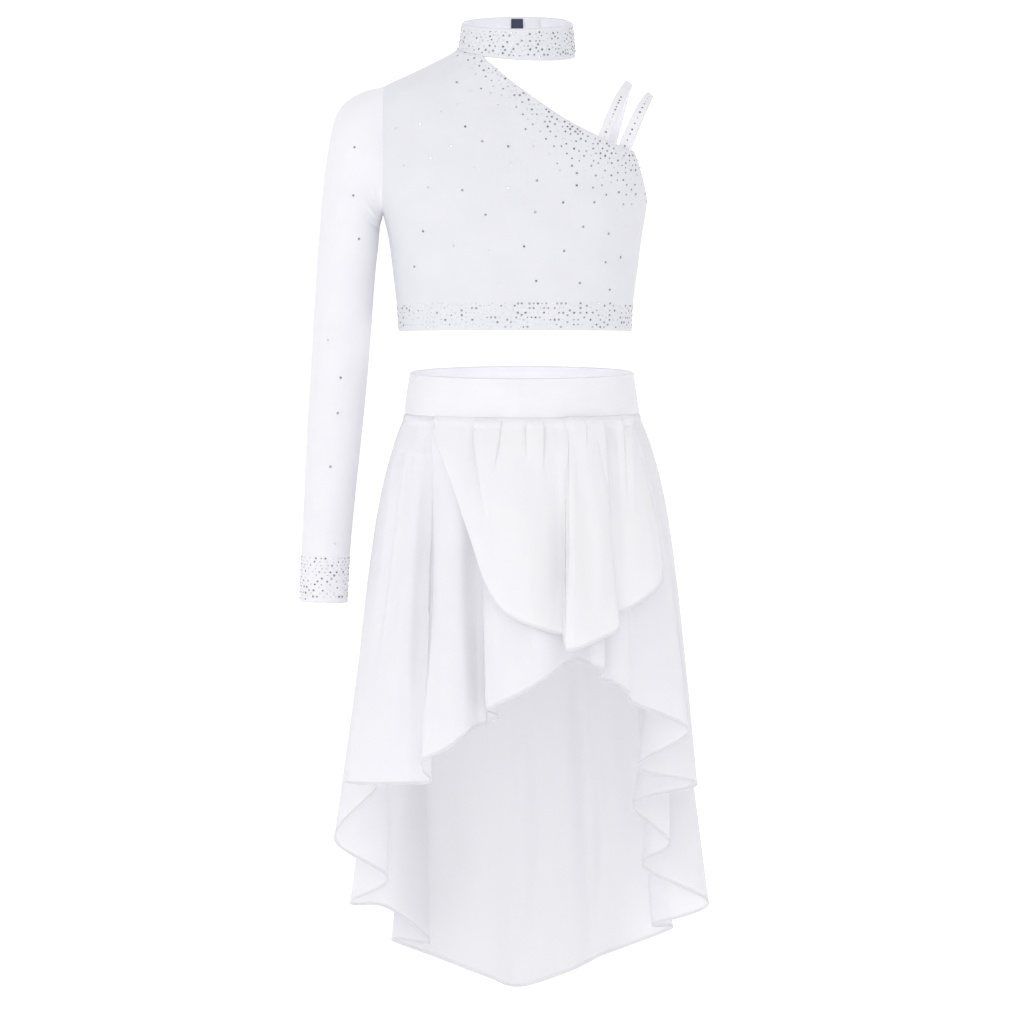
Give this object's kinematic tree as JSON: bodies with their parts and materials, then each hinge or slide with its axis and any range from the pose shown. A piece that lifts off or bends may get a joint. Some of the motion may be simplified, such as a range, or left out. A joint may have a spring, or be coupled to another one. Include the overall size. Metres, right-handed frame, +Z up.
{
  "type": "dance crop top and skirt set",
  "caption": "White one-sleeve dance crop top with a stand collar and shoulder straps, and a layered high-low skirt on a wide waistband, held in their worn shape.",
  "frame": {"origin": "the wearer's waist line, in the middle of the waistband's upper opening", "axes": "+X to the wearer's left (the picture's right), -Y to the wearer's front, +Z up"},
  "size_m": [0.3717, 0.2876, 0.8948],
  "materials": {
    "knit": "matt stretch knit",
    "elastic": "smooth ribbed elastic with a soft sheen",
    "chiffon": "thin sheer weave",
    "label": "woven, plain"
  },
  "bodies": {
    "root": {"top_front": "knit", "top_back": "knit", "sleeve": "knit", "collar": "knit", "neck_label": "label", "strap_inner": "knit", "strap_outer": "knit", "waistband": "elastic", "skirt_front": "chiffon", "skirt_back": "chiffon", "skirt_overlay": "chiffon"}
  },
  "joints": []
}
